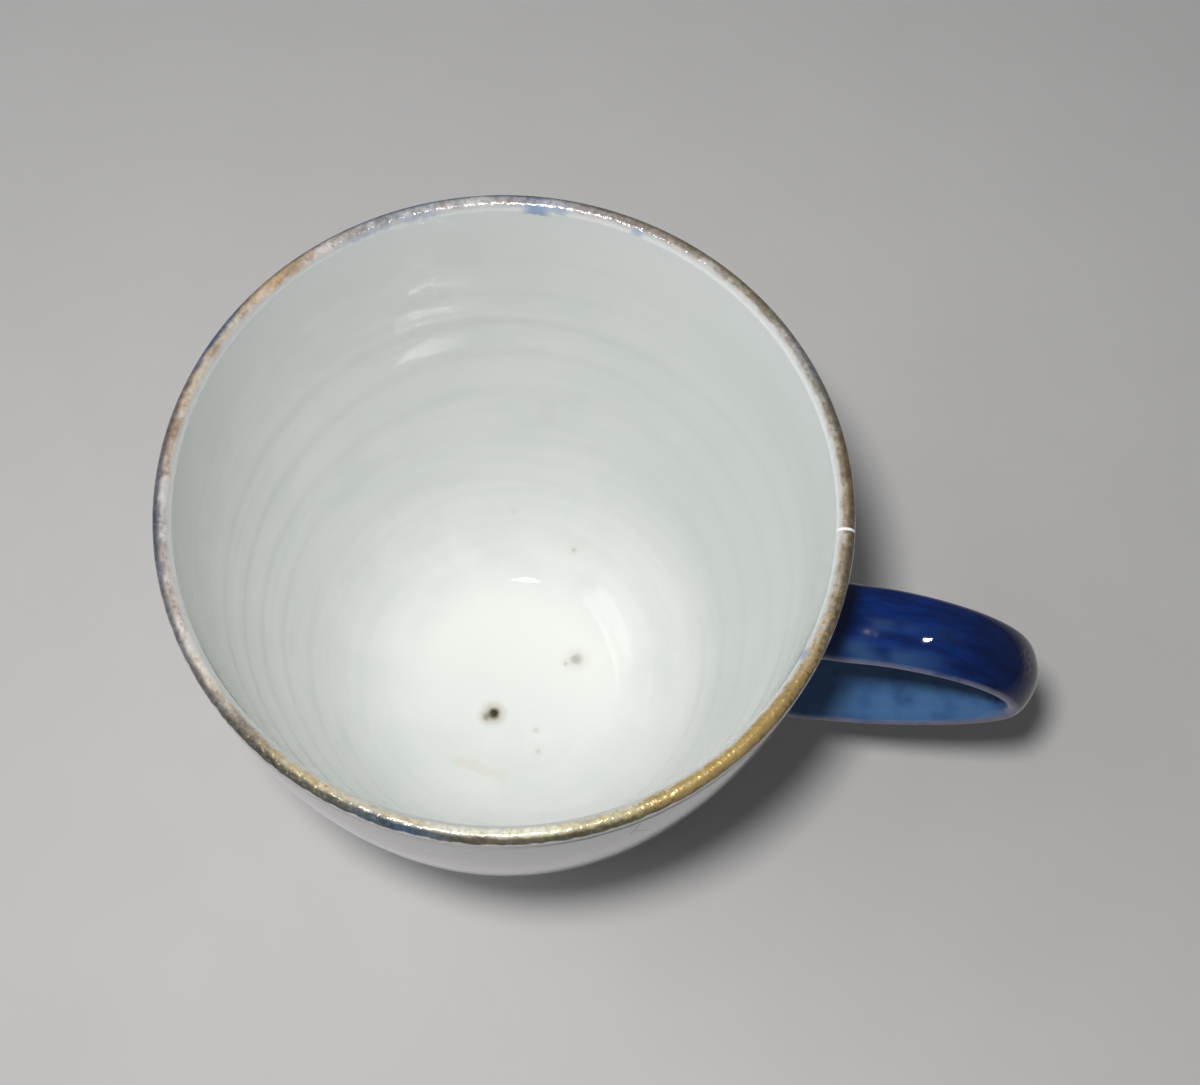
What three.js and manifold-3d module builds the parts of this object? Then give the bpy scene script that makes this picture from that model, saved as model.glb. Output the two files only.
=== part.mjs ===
// A thrown porcelain cup with a pulled loop handle, in millimetres, +Z up.
//
// The cup stands on z = 0. Its axis is parallel to Z, and the handle points along +X.
// The origin is the middle of the footprint box, so the cup's axis lies at x = AXIS_X,
// half of the handle's overhang behind the origin.

import * as THREE from "three";
import { mergeVertices } from "three/addons/utils/BufferGeometryUtils.js";
import Module from "manifold-3d";

// ---------------------------------------------------------------- driving dimensions

const RIM_RADIUS = 33.25; // outermost point of the gilded lip
const HEIGHT = 65; // table to the top of the lip
const GILT_THICKNESS = 0.15; // gilding over the glaze
const COBALT_THICKNESS = 0.1; // blue line, just thinner than the gilding
const SKIN_GAP = 0.02; // between a painted line and the glaze that it lies on

const LIP_WALL = 1.6; // bare wall at the lip
const FOOT_WALL = 2.5; // bare wall above the corner
const WALL_LEAN = 0.024; // inward slope of the wall at the lip
const WALL_BULGE = 0.0955; // how fast that slope grows with depth, per lip radius
const CORNER_TOP = 18.5; // height where the wall starts to turn in to the base
const CORNER_DROP = 8; // how far down the corner still follows the wall's own slope
const BASE_PULL_OUT = 2.4; // how far out the corner's curve swings before it meets the foot
const BASE_PULL_UP = 1.7; // and how far above the base
const FLOOR_PULL_OUT = 9.5; // the same for the curve that meets the floor
const FLOOR_PULL_UP = 0.3;
const FLOOR_TOP = 5.4; // inner floor
const FLOOR_FLAT = 8; // radius where the rounded corner meets the nearly flat middle
const FLOOR_DIP = 0.3; // how much lower the floor is at its centre
const BASE_BOTTOM = 3.0; // underside of the cup, inside the foot ring

const FOOT_OUTER = 20.4; // foot ring where it leaves the cup
const FOOT_INNER = 17.0;
const FOOT_REST_OUTER = 19.4; // unglazed edge that the cup stands on
const FOOT_REST_INNER = 17.9;
const FOOT_EDGE = 0.3; // chamfer of the rest edge
const FOOT_SHOULDER = 1.0; // height of the foot's upper part, below the cup
const FOOT_TAPER = 0.2; // how much that part narrows on each side
const JOINT_GAP = 0.05; // between two pieces that are luted together

const GILT_OUTSIDE = 1.5; // how far the gold runs down the outside, from the top of the lip
const GILT_INSIDE = 1.0; // and down the inside
const COBALT_LINE = 1.3; // height of the blue line below the gold

const STRAP_WIDTH = 7.5; // at the outside of the loop
const STRAP_ROOT_WIDTH = 8.6; // at the lower end
const STRAP_THICKNESS = 3.5;
const LOOP_REACH = 54.95; // cup axis to the middle of the strap, at the furthest point
const LOOP_OUTERMOST = 38.5; // height of the furthest point
const LOOP_TOP = 47.8; // height of the highest point
const LOOP_TOP_REACH = 40; // cup axis to the highest point
const UPPER_ROOT = 47.2; // height where the upper arm leaves the wall
const LOWER_ROOT = 24.7; // height where the lower arm comes back to it
const OUTER_PULL = 6; // how far the loop runs straight down below its furthest point
const LOWER_PULL = 10; // how far the lower arm runs straight out from the wall
const PAD_THICKNESS = 1.1; // luting slip between the wall and the end of the strap
const PAD_MARGIN = 0.7; // how far the slip stands out around the strap
const PAD_BEVEL = 0.4;

const TURN_STEPS = 64; // sides of a full turn
const SECTION_STEPS = 24; // sides of the strap's section
const STRAP_STEPS = 40; // steps along the strap

// ---------------------------------------------------------------- derived sizes

const BODY_RIM_RADIUS = RIM_RADIUS - GILT_THICKNESS;
const BODY_TOP = HEIGHT - GILT_THICKNESS;
const LIP_ROUND = LIP_WALL / 2;
const LIP_CENTRE_Z = BODY_TOP - LIP_ROUND;
const HANDLE_REACH = LOOP_REACH + STRAP_THICKNESS / 2;
const AXIS_X = (RIM_RADIUS - HANDLE_REACH) / 2;

// ---------------------------------------------------------------- materials

const whiteGlaze = new THREE.MeshStandardMaterial({ color: 0xe6ebe8, roughness: 0.12, metalness: 0 });
const bareFoot = new THREE.MeshStandardMaterial({ color: 0xd9d2c4, roughness: 0.8, metalness: 0 });
const cobaltGlaze = new THREE.MeshStandardMaterial({ color: 0x12308c, roughness: 0.12, metalness: 0 });
const cobaltLine = new THREE.MeshStandardMaterial({ color: 0x2a4a94, roughness: 0.2, metalness: 0 });
const wornGold = new THREE.MeshStandardMaterial({ color: 0xb08a3e, roughness: 0.35, metalness: 0.9 });

// ---------------------------------------------------------------- profiles (x is radius, y is height)

// Radius of the bare outer wall at a height above the corner.
function outerWall(z) {
  const depth = (LIP_CENTRE_Z - z) / RIM_RADIUS;
  return BODY_RIM_RADIUS - RIM_RADIUS * (WALL_LEAN * depth + WALL_BULGE * depth * depth);
}

// The wall thickens evenly from the lip to the corner.
function wallThickness(z) {
  const share = (LIP_CENTRE_Z - z) / (LIP_CENTRE_Z - CORNER_TOP);
  return LIP_WALL + (FOOT_WALL - LIP_WALL) * share;
}

function innerWall(z) {
  return outerWall(z) - wallThickness(z);
}

// Points of a wall line from one height to another, the first left out.
function wallPoints(radiusAt, fromZ, toZ, steps) {
  return Array.from({ length: steps }, (_, i) => {
    const z = fromZ + ((toZ - fromZ) * (i + 1)) / steps;
    return new THREE.Vector2(radiusAt(z), z);
  });
}

// Round of the lip, offset outwards, from one angle to another (0 is outwards, 90 is up).
function lipArc(offset, fromDegrees, toDegrees, steps) {
  const radius = LIP_ROUND + offset;
  return Array.from({ length: steps + 1 }, (_, i) => {
    const a = THREE.MathUtils.degToRad(fromDegrees + ((toDegrees - fromDegrees) * i) / steps);
    return new THREE.Vector2(
      BODY_RIM_RADIUS - LIP_ROUND + radius * Math.cos(a),
      LIP_CENTRE_Z + radius * Math.sin(a),
    );
  });
}

// A corner that leaves a wall line at CORNER_TOP in its own direction and ends at a flat.
function cornerCurve(radiusAt, pull, end) {
  const top = radiusAt(CORNER_TOP);
  const growthPerMillimetre = radiusAt(CORNER_TOP + 1) - top;
  return new THREE.CubicBezierCurve(
    new THREE.Vector2(top, CORNER_TOP),
    new THREE.Vector2(top - growthPerMillimetre * CORNER_DROP, CORNER_TOP - CORNER_DROP),
    pull,
    end,
  );
}

const outerCorner = cornerCurve(
  outerWall,
  new THREE.Vector2(FOOT_OUTER + BASE_PULL_OUT, BASE_BOTTOM + BASE_PULL_UP),
  new THREE.Vector2(FOOT_OUTER, BASE_BOTTOM),
);

const innerCorner = cornerCurve(
  innerWall,
  new THREE.Vector2(FLOOR_FLAT + FLOOR_PULL_OUT, FLOOR_TOP + FLOOR_PULL_UP),
  new THREE.Vector2(FLOOR_FLAT, FLOOR_TOP),
);

function latheOf(points, steps = TURN_STEPS) {
  return new THREE.LatheGeometry(points, steps);
}

// A lathe turns about its own Y, so its geometry is stood up along Z.
function standUp(geometry) {
  return geometry.rotateX(Math.PI / 2);
}

// ---------------------------------------------------------------- manifold-3d

const wasm = await Module();
wasm.setup();

function solidOf(geometry) {
  const bare = geometry.clone();
  bare.deleteAttribute("normal");
  bare.deleteAttribute("uv");
  const merged = mergeVertices(bare, 1e-4);
  return new wasm.Manifold(
    new wasm.Mesh({
      numProp: 3,
      vertProperties: new Float32Array(merged.attributes.position.array),
      triVerts: new Uint32Array(merged.index.array),
    }),
  );
}

function geometryOf(solid) {
  const mesh = solid.getMesh();
  const geometry = new THREE.BufferGeometry();
  geometry.setAttribute("position", new THREE.BufferAttribute(mesh.vertProperties, 3));
  geometry.setIndex(new THREE.BufferAttribute(mesh.triVerts, 1));
  geometry.computeVertexNormals();
  return geometry;
}

// ---------------------------------------------------------------- cup body

// The whole outline of the bare cup, from the axis under the base round to the axis on the floor.
function bodyOutline() {
  const lipInside = BODY_RIM_RADIUS - LIP_WALL;
  return [
    new THREE.Vector2(0, BASE_BOTTOM),
    ...outerCorner.getPoints(8).reverse(),
    ...wallPoints(outerWall, CORNER_TOP, LIP_CENTRE_Z, 9),
    ...lipArc(0, 0, 180, 6).slice(1, -1),
    new THREE.Vector2(lipInside, LIP_CENTRE_Z),
    ...wallPoints(innerWall, LIP_CENTRE_Z, CORNER_TOP, 9),
    ...innerCorner.getPoints(8).slice(1),
    new THREE.Vector2(0, FLOOR_TOP - FLOOR_DIP),
  ];
}

function makeCupBody() {
  return standUp(latheOf(bodyOutline()));
}

// ---------------------------------------------------------------- foot ring

function makeFootRing() {
  const top = BASE_BOTTOM - JOINT_GAP;
  const shoulder = top - FOOT_SHOULDER;
  const outline = [
    new THREE.Vector2(FOOT_INNER, top),
    new THREE.Vector2(FOOT_INNER + FOOT_TAPER, shoulder),
    new THREE.Vector2(FOOT_REST_INNER - FOOT_EDGE, FOOT_EDGE),
    new THREE.Vector2(FOOT_REST_INNER, 0),
    new THREE.Vector2(FOOT_REST_OUTER, 0),
    new THREE.Vector2(FOOT_REST_OUTER + FOOT_EDGE, FOOT_EDGE),
    new THREE.Vector2(FOOT_OUTER - FOOT_TAPER, shoulder),
    new THREE.Vector2(FOOT_OUTER, top),
    new THREE.Vector2(FOOT_INNER, top),
  ];
  return standUp(latheOf(outline));
}

// ---------------------------------------------------------------- painted lines of the lip

// The gold wraps over the round of the lip and runs a little down both faces.
function makeGiltRim() {
  const near = SKIN_GAP;
  const far = GILT_THICKNESS;
  const outsideZ = HEIGHT - GILT_OUTSIDE;
  const insideZ = HEIGHT - GILT_INSIDE;
  const outline = [
    new THREE.Vector2(outerWall(outsideZ) + near, outsideZ),
    new THREE.Vector2(outerWall(outsideZ) + far, outsideZ),
    ...lipArc(far, 0, 180, 6),
    new THREE.Vector2(innerWall(insideZ) - far, insideZ),
    new THREE.Vector2(innerWall(insideZ) - near, insideZ),
    ...lipArc(near, 180, 0, 6),
    new THREE.Vector2(outerWall(outsideZ) + near, outsideZ),
  ];
  return standUp(latheOf(outline));
}

function makeCobaltLine() {
  const top = HEIGHT - GILT_OUTSIDE - SKIN_GAP;
  const bottom = top - COBALT_LINE;
  const outline = [
    new THREE.Vector2(outerWall(bottom) + SKIN_GAP, bottom),
    new THREE.Vector2(outerWall(bottom) + COBALT_THICKNESS, bottom),
    new THREE.Vector2(outerWall(top) + COBALT_THICKNESS, top),
    new THREE.Vector2(outerWall(top) + SKIN_GAP, top),
    new THREE.Vector2(outerWall(bottom) + SKIN_GAP, bottom),
  ];
  return standUp(latheOf(outline));
}

// ---------------------------------------------------------------- handle

// Distance from the cup's axis to the flat end of the strap, at a height.
function strapEnd(z) {
  return outerWall(z) + PAD_THICKNESS;
}

const ROUND = 0.5523; // handle length that makes a Bezier curve a quarter of an ellipse
const EASE = 0.4; // and the share of a gentle S-curve's length that each handle takes

// The middle line of the strap: up and out from the wall, over the top, down round the outside,
// and back to the wall. Both ends meet the wall level.
function strapPath() {
  const at = (x, z) => new THREE.Vector3(x, 0, z);
  const start = strapEnd(UPPER_ROOT);
  const end = strapEnd(LOWER_ROOT);
  const rise = EASE * (LOOP_TOP_REACH - start);
  const path = new THREE.CurvePath();
  path.add(
    new THREE.CubicBezierCurve3(
      at(start, UPPER_ROOT),
      at(start + rise, UPPER_ROOT),
      at(LOOP_TOP_REACH - rise, LOOP_TOP),
      at(LOOP_TOP_REACH, LOOP_TOP),
    ),
  );
  path.add(
    new THREE.CubicBezierCurve3(
      at(LOOP_TOP_REACH, LOOP_TOP),
      at(LOOP_TOP_REACH + ROUND * (LOOP_REACH - LOOP_TOP_REACH), LOOP_TOP),
      at(LOOP_REACH, LOOP_OUTERMOST + ROUND * (LOOP_TOP - LOOP_OUTERMOST)),
      at(LOOP_REACH, LOOP_OUTERMOST),
    ),
  );
  path.add(
    new THREE.CubicBezierCurve3(
      at(LOOP_REACH, LOOP_OUTERMOST),
      at(LOOP_REACH, LOOP_OUTERMOST - OUTER_PULL),
      at(end + LOWER_PULL, LOWER_ROOT),
      at(end, LOWER_ROOT),
    ),
  );
  return path;
}

// Half of the strap's width at a distance from the cup's axis: widest at the lower end.
function strapHalfWidth(x) {
  const share = Math.max(0, (LOOP_REACH - x) / (LOOP_REACH - strapEnd(LOWER_ROOT)));
  return (STRAP_WIDTH + (STRAP_ROOT_WIDTH - STRAP_WIDTH) * share) / 2;
}

// One ring of the strap's oval section, square to the path.
function strapRing(centre, tangent) {
  const outward = new THREE.Vector3(-tangent.z, 0, tangent.x);
  const halfWidth = strapHalfWidth(centre.x);
  return Array.from({ length: SECTION_STEPS }, (_, j) => {
    const angle = (2 * Math.PI * j) / SECTION_STEPS;
    const point = centre.clone().addScaledVector(outward, (Math.sin(angle) * STRAP_THICKNESS) / 2);
    point.y = Math.cos(angle) * halfWidth;
    return point;
  });
}

// The strap: rings along the path, joined by quads and closed by a fan over each end.
function makeHandle() {
  const path = strapPath();
  const points = [];
  for (let i = 0; i <= STRAP_STEPS; i++) {
    const share = i / STRAP_STEPS;
    points.push(...strapRing(path.getPointAt(share), path.getTangentAt(share)));
  }
  const firstMiddle = points.push(path.getPointAt(0)) - 1;
  const lastMiddle = points.push(path.getPointAt(1)) - 1;
  const lastRing = STRAP_STEPS * SECTION_STEPS;
  const faces = [];
  for (let j = 0; j < SECTION_STEPS; j++) {
    const next = (j + 1) % SECTION_STEPS;
    for (let i = 0; i < STRAP_STEPS; i++) {
      const near = i * SECTION_STEPS;
      const far = near + SECTION_STEPS;
      faces.push(near + j, near + next, far + next, near + j, far + next, far + j);
    }
    faces.push(firstMiddle, next, j);
    faces.push(lastMiddle, lastRing + j, lastRing + next);
  }
  const geometry = new THREE.BufferGeometry().setFromPoints(points);
  geometry.setIndex(faces);
  geometry.computeVertexNormals();
  return geometry;
}

// ---------------------------------------------------------------- luting pads

// A pad of slip: an oval a little larger than the strap's end, from inside the wall out to the
// strap, less the wall itself.
function makePad(z) {
  const halfWidth = strapHalfWidth(strapEnd(z)) + PAD_MARGIN;
  const halfHeight = STRAP_THICKNESS / 2 + PAD_MARGIN;
  const oval = new THREE.Shape();
  const across = halfWidth - PAD_BEVEL;
  const up = halfHeight - PAD_BEVEL;
  oval.absellipse(0, 0, across, up, 0, 2 * Math.PI, false, 0);
  const inner = outerWall(z) - FOOT_WALL;
  const outer = strapEnd(z) - JOINT_GAP;
  const block = new THREE.ExtrudeGeometry(oval, {
    depth: outer - inner - 2 * PAD_BEVEL,
    curveSegments: SECTION_STEPS / 2,
    bevelEnabled: true,
    bevelThickness: PAD_BEVEL,
    bevelSize: PAD_BEVEL,
    bevelSegments: 2,
  });
  // The extrusion runs along its own Z: turn it so that Z becomes X, and its X becomes Y.
  block.translate(0, 0, inner + PAD_BEVEL);
  block.rotateX(Math.PI / 2);
  block.rotateZ(Math.PI / 2);
  block.translate(0, 0, z);
  const wall = standUp(latheOf(wallCutter(), 2 * TURN_STEPS));
  return geometryOf(solidOf(block).subtract(solidOf(wall)));
}

// A solid cone as large as the outer wall plus the joint's gap, with the facets' sag allowed for.
function wallCutter() {
  const sag = 1 / Math.cos(Math.PI / TURN_STEPS);
  const grown = (z) => outerWall(z) * sag + JOINT_GAP;
  return [
    new THREE.Vector2(0, CORNER_TOP),
    new THREE.Vector2(grown(CORNER_TOP), CORNER_TOP),
    ...wallPoints(grown, CORNER_TOP, LIP_CENTRE_Z, 18),
    new THREE.Vector2(0, LIP_CENTRE_Z),
  ];
}

// ---------------------------------------------------------------- assembly

const cup = new THREE.Group();
cup.position.x = AXIS_X;

function add(name, geometry, material) {
  const mesh = new THREE.Mesh(geometry, material);
  mesh.name = name;
  cup.add(mesh);
}

add("cup_body", makeCupBody(), whiteGlaze);
add("foot_ring", makeFootRing(), bareFoot);
add("gilt_rim", makeGiltRim(), wornGold);
add("cobalt_rim_line", makeCobaltLine(), cobaltLine);
add("handle", makeHandle(), cobaltGlaze);
add("handle_upper_luting", makePad(UPPER_ROOT), cobaltGlaze);
add("handle_lower_luting", makePad(LOWER_ROOT), cobaltGlaze);

const part = new THREE.Group();
part.add(cup);

export default part;
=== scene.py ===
# A worn porcelain cup with a cobalt loop handle: its looks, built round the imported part.
#
# Every object is in metres in the part's own frame. Lengths in this script are in millimetres, measured
# from the cup's axis and from the table, and add_mesh() takes them into the part's frame.

import math

import bmesh
import bpy
import numpy as np
from mathutils import Matrix, Vector


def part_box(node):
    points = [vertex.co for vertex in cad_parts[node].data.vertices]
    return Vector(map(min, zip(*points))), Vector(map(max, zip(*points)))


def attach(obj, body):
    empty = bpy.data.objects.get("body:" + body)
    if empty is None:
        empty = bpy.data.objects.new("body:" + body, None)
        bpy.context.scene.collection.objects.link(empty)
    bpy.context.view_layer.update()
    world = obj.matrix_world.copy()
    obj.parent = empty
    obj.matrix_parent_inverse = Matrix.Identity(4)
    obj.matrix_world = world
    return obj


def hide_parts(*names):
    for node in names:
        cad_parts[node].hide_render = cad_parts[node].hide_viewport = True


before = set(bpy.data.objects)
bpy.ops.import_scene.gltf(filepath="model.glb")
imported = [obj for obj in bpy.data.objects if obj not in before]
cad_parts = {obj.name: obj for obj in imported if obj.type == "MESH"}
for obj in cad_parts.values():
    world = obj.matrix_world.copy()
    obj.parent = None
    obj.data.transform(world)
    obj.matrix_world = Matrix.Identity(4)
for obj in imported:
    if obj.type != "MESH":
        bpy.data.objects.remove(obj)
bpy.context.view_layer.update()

MM = 0.001
TAU = 2 * math.pi

# ---------------------------------------------------------------- sizes read from the frame

body_low, body_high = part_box("cup_body")
rim_low, rim_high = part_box("gilt_rim")
foot_low, foot_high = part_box("foot_ring")
handle_low, handle_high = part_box("handle")

AXIS_X = (body_low.x + body_high.x) / 2
HEIGHT = rim_high.z / MM
RIM_RADIUS = (rim_high.x - rim_low.x) / 2 / MM
BASE_BOTTOM = body_low.z / MM
FOOT_OUTER = (foot_high.x - foot_low.x) / 2 / MM
HANDLE_REACH = (handle_high.x - AXIS_X) / MM
HANDLE_TOP = handle_high.z / MM
HANDLE_BOTTOM = handle_low.z / MM
ROOT_WIDTH = (handle_high.y - handle_low.y) / MM

# ---------------------------------------------------------------- the thrown wall

GILT_LIFT = 0.05  # how far the gilding stands proud of the glaze
LIP_WALL = 1.75
FOOT_WALL = 2.6
WALL_LEAN = 0.024  # inward slope of the wall at the lip
WALL_BULGE = 0.0955  # how fast that slope grows with depth, per lip radius
CORNER_TOP = 18.5  # height where the wall turns in to the base
CORNER_DROP = 8.0
FLOOR_TOP = 5.4
FLOOR_FLAT = 8.0
FLOOR_DIP = 0.3
FLOOR_PULL = (9.5, 0.3)  # how far out and up from the floor's flat the inner corner is pulled
BASE_PULL = (2.4, 1.7)  # the same for the outer corner, from the top of the foot

SKIN = GILT_LIFT + 0.03  # from the glaze out to the box round the gilding
BODY_RADIUS = RIM_RADIUS - SKIN
LIP_ROUND = LIP_WALL / 2
LIP_CENTRE_Z = HEIGHT - SKIN - LIP_ROUND

# Points along each stretch of the section, and round the cup.
FLOOR_STEPS = 26
COVE_STEPS = 52
INSIDE_STEPS = 90
LIP_STEPS = 25
OUTSIDE_STEPS = 56
TURN_IN_STEPS = 26
BASE_STEPS = 14
TURN_STEPS = 288


def outer_wall(z):
    depth = (LIP_CENTRE_Z - z) / RIM_RADIUS
    return BODY_RADIUS - RIM_RADIUS * (WALL_LEAN * depth + WALL_BULGE * depth * depth)


def inner_wall(z):
    share = (LIP_CENTRE_Z - z) / (LIP_CENTRE_Z - CORNER_TOP)
    return outer_wall(z) - LIP_WALL - (FOOT_WALL - LIP_WALL) * share


def wall_line(radius_at, from_z, to_z, steps):
    z = np.linspace(from_z, to_z, steps)
    return np.column_stack([radius_at(z), z])


def bezier(a, b, c, d, steps):
    t = np.linspace(0, 1, steps)[:, None]
    a, b, c, d = (np.array(p, float) for p in (a, b, c, d))
    return a * (1 - t) ** 3 + 3 * b * t * (1 - t) ** 2 + 3 * c * t * t * (1 - t) + d * t**3


def corner_line(radius_at, pull, end, steps):
    """The corner from CORNER_TOP down to a flat, leaving the wall in the wall's own direction."""
    top = radius_at(CORNER_TOP)
    slope = radius_at(CORNER_TOP + 0.5) - radius_at(CORNER_TOP - 0.5)
    leave = (top - slope * CORNER_DROP, CORNER_TOP - CORNER_DROP)
    return bezier((top, CORNER_TOP), leave, pull, end, steps)


def lip_line(steps):
    angle = np.linspace(math.pi, 0, steps)
    r = BODY_RADIUS - LIP_ROUND + LIP_ROUND * np.cos(angle)
    return np.column_stack([r, LIP_CENTRE_Z + LIP_ROUND * np.sin(angle)])


def joined(*lines):
    """Lines end to end, with each shared point kept once."""
    return np.vstack([lines[0]] + [line[1:] for line in lines[1:]])


def make_profile():
    """The cup's section, from the middle of the floor up over the lip to the middle of the base."""
    r = np.linspace(0, FLOOR_FLAT, FLOOR_STEPS)
    floor = np.column_stack([r, FLOOR_TOP - FLOOR_DIP * (1 - (r / FLOOR_FLAT) ** 2) ** 2])
    floor_edge = np.array((FLOOR_FLAT, FLOOR_TOP))
    foot_edge = np.array((FOOT_OUTER, BASE_BOTTOM))
    cove = corner_line(inner_wall, floor_edge + FLOOR_PULL, floor_edge, COVE_STEPS)[::-1]
    turn = corner_line(outer_wall, foot_edge + BASE_PULL, foot_edge, TURN_IN_STEPS)
    under = np.column_stack([np.linspace(FOOT_OUTER, 0, BASE_STEPS), np.full(BASE_STEPS, BASE_BOTTOM)])
    inside = wall_line(inner_wall, CORNER_TOP, LIP_CENTRE_Z, INSIDE_STEPS)
    outside = wall_line(outer_wall, LIP_CENTRE_Z, CORNER_TOP, OUTSIDE_STEPS)
    return joined(floor, cove, inside, lip_line(LIP_STEPS), outside, turn, under)


PROFILE = make_profile()
PROFILE_LENGTH = np.concatenate([[0], np.cumsum(np.hypot(*np.diff(PROFILE, axis=0).T))])
LIP_INDEX = int(np.argmax(PROFILE[:, 1]))
# Distance along the section from the top of the lip: negative inside the cup, positive outside.
S = PROFILE_LENGTH - PROFILE_LENGTH[LIP_INDEX]
FLOOR_S = S[0]
TANGENT = np.gradient(PROFILE, S, axis=0)
TANGENT /= np.linalg.norm(TANGENT, axis=1)[:, None]
TANGENT[0] = (1, 0)
TANGENT[-1] = (-1, 0)
NORMAL = np.column_stack([-TANGENT[:, 1], TANGENT[:, 0]])


def smooth(low, high, x):
    t = np.clip((x - low) / (high - low), 0, 1)
    return t * t * (3 - 2 * t)


RIDGE_PITCH = 7.0  # the spiral that the potter's fingers leave
RIDGE_WAVES = ((1, 0.050, 0.4), (2, 0.014, 2.1), (3, 0.004, 4.0))  # waves in a pitch, height, phase
SPIRAL_WANDER = 0.16  # slow straying of the spiral from even turns, in pitches
SPIRAL_WOBBLE = 0.09  # and the quicker straying on top of it
RIDGES_BELOW = (9, 26)  # distance below the lip where the ridges start and where they are full
RIDGES_STRONGEST = 1.9  # the side, in radians from the handle, where they are highest
SWELL_BELOW = (4, 20)  # the same for the wide swell under them
SWELL_HEIGHT = 0.05
MIDDLE_FADE = (0.5, 5)  # the floor's middle is left smooth
TURNING_PITCH = 1.9  # the fine lines left by turning the outside
TURNING_HEIGHT = 0.006
TURNING_FROM_LIP = (4, 10)  # they fade out towards the lip
TURNING_FROM_BASE = (4, 12)  # and towards the middle of the base


def ridges(s, phi):
    """Height of the throwing spiral inside the cup and of the turning lines outside."""
    inside = np.minimum(s, 0)
    turn = inside / RIDGE_PITCH - phi / TAU
    turn = turn + SPIRAL_WANDER * np.sin(phi + inside / 8 + 1)
    turn = turn + SPIRAL_WOBBLE * np.sin(3 * phi - inside / 5)
    height = sum(h * np.cos(TAU * n * turn + p) for n, h, p in RIDGE_WAVES)
    # The ridges are weaker on one side of the cup, and come and go down the wall.
    strength = smooth(*RIDGES_BELOW, -inside) * (0.70 + 0.30 * np.cos(phi - RIDGES_STRONGEST))
    strength = strength * (1 + 0.3 * np.cos(inside / 9 + phi))
    at_middle = smooth(*MIDDLE_FADE, inside - FLOOR_S)
    swell = SWELL_HEIGHT * np.sin(2 * phi + inside / 11) * smooth(*SWELL_BELOW, -inside) * at_middle
    outside = np.maximum(s, 0)
    turned = TURNING_HEIGHT * np.cos(TAU * outside / TURNING_PITCH + phi)
    turned = turned * smooth(*TURNING_FROM_LIP, outside) * smooth(*TURNING_FROM_BASE, S[-1] - s)
    return height * strength * at_middle + swell + turned


# The pull out of round at the lip, as waves round the cup: how many, size, phase.
OUT_OF_ROUND = ((2, 0.0016, 0.7), (3, 0.0008, -1.1))  # shares of the radius
OUT_OF_LEVEL = ((2, 0.07, 1.9), (1, 0.05, -2.4))  # millimetres of height
PULLED_IN = 0.0012  # brings the widest place of the lip back to the part's box
PULLED_DOWN = 0.08  # and its highest place, to about 0.01 mm


def waves_round(phi, waves):
    return sum(size * np.cos(n * phi + phase) for n, size, phase in waves)


def warp(points):
    """The slight pull out of round that a fired cup has, growing towards the lip."""
    x, y, z = points[..., 0], points[..., 1], points[..., 2]
    phi = np.arctan2(y, x)
    share = np.clip(z / HEIGHT, 0, 1) ** 2
    scale = 1 + share * (waves_round(phi, OUT_OF_ROUND) - PULLED_IN)
    lift = share * (waves_round(phi, OUT_OF_LEVEL) - PULLED_DOWN)
    return np.stack([x * scale, y * scale, z + lift], axis=-1)


def surface(s, phi, lift=0.0):
    """Points on the cup's skin, lifted along its normal."""
    s, phi, lift = np.broadcast_arrays(s, phi, lift)
    r, z = (np.interp(s, S, PROFILE[:, i]) for i in (0, 1))
    normal_r, normal_z = (np.interp(s, S, NORMAL[:, i]) for i in (0, 1))
    height = ridges(s, phi) + lift
    r = np.maximum(r + normal_r * height, 0)
    z = z + normal_z * height
    return warp(np.stack([r * np.cos(phi), r * np.sin(phi), z], axis=-1))


# ---------------------------------------------------------------- meshes

SHARP_EDGE = math.radians(50)


def add_mesh(name, points, faces, material):
    """An object in the part's frame, from points in millimetres round the cup's axis."""
    mesh = bpy.data.meshes.new(name)
    placed = np.array(points) * MM + (AXIS_X, 0, 0)
    mesh.from_pydata(placed.tolist(), [], faces)
    tidy = bmesh.new()
    tidy.from_mesh(mesh)
    bmesh.ops.recalc_face_normals(tidy, faces=tidy.faces)
    tidy.to_mesh(mesh)
    tidy.free()
    mesh.shade_smooth()
    mesh.set_sharp_from_angle(angle=SHARP_EDGE)
    mesh.materials.append(material)
    piece = bpy.data.objects.new(name, mesh)
    bpy.context.scene.collection.objects.link(piece)
    return piece


def rows_to_faces(rows, columns, start=0, closed=False):
    """Quads between rows of points that each run once round. closed joins the last row to the first."""
    faces = []
    for i in range(rows if closed else rows - 1):
        a, b = start + i * columns, start + (i + 1) % rows * columns
        for j in range(columns):
            k = (j + 1) % columns
            faces.append((a + j, a + k, b + k, b + j))
    return faces


def fan(centre, row_start, columns):
    return [(centre, row_start + (j + 1) % columns, row_start + j) for j in range(columns)]


def capped_tube(name, rings, material):
    """A closed tube through rings of points, with a fan over each end."""
    rows, columns, _ = rings.shape
    points = np.vstack([rings.reshape(-1, 3), rings[0].mean(axis=0), rings[-1].mean(axis=0)])
    first, last = rows * columns, rows * columns + 1
    faces = rows_to_faces(rows, columns)
    faces += fan(first, 0, columns) + fan(last, (rows - 1) * columns, columns)
    return add_mesh(name, points, faces, material)


def turn_angles():
    return np.arange(TURN_STEPS) * TAU / TURN_STEPS


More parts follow.
